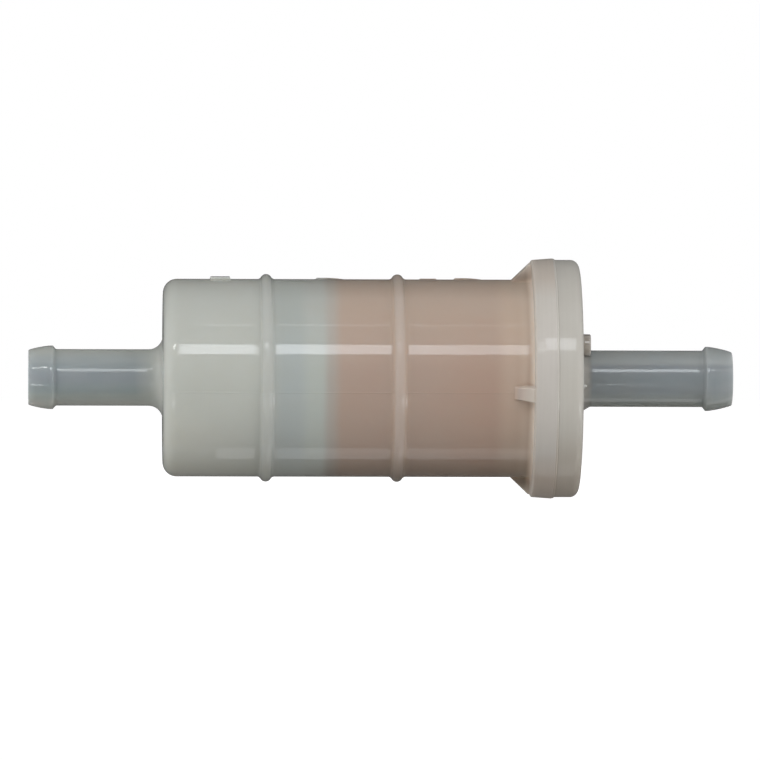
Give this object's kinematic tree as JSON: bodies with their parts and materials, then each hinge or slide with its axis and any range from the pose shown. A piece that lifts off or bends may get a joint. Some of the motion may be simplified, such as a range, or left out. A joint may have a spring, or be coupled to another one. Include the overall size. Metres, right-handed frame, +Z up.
{
  "type": "fuel filter",
  "caption": "In-line fuel filter with a see-through banded bowl, a welded flange and cap, barbed hose nipples at both ends and a pleated paper element inside.",
  "frame": {"origin": "on the filter's axis, in the plane of the inlet nipple's open end", "axes": "+X along the axis in the direction of flow, from inlet to outlet; +Z up through the moulded flow marks"},
  "size_m": [0.0997, 0.034, 0.034],
  "materials": {
    "milky_nylon": "see-through milky nylon, glossy",
    "cream_nylon": "natural cream nylon, satin to glossy",
    "weld_nylon": "fused nylon, slightly browned",
    "white_plate": "white moulded plastic, matte",
    "filter_paper": "resin-treated filter paper, pink, matte",
    "adhesive": "set adhesive, slightly glossy",
    "core_plastic": "moulded plastic, matte",
    "seal_rubber": "black rubber"
  },
  "bodies": {
    "root": {"inlet_bowl": "milky_nylon", "outlet_cap": "cream_nylon", "weld_bead": "weld_nylon", "closed_end_plate": "white_plate", "open_end_plate": "white_plate", "pleated_paper": "filter_paper", "seam_adhesive": "adhesive", "closed_end_potting": "adhesive", "open_end_potting": "adhesive", "support_core": "core_plastic", "spigot_seal": "seal_rubber"}
  },
  "joints": []
}
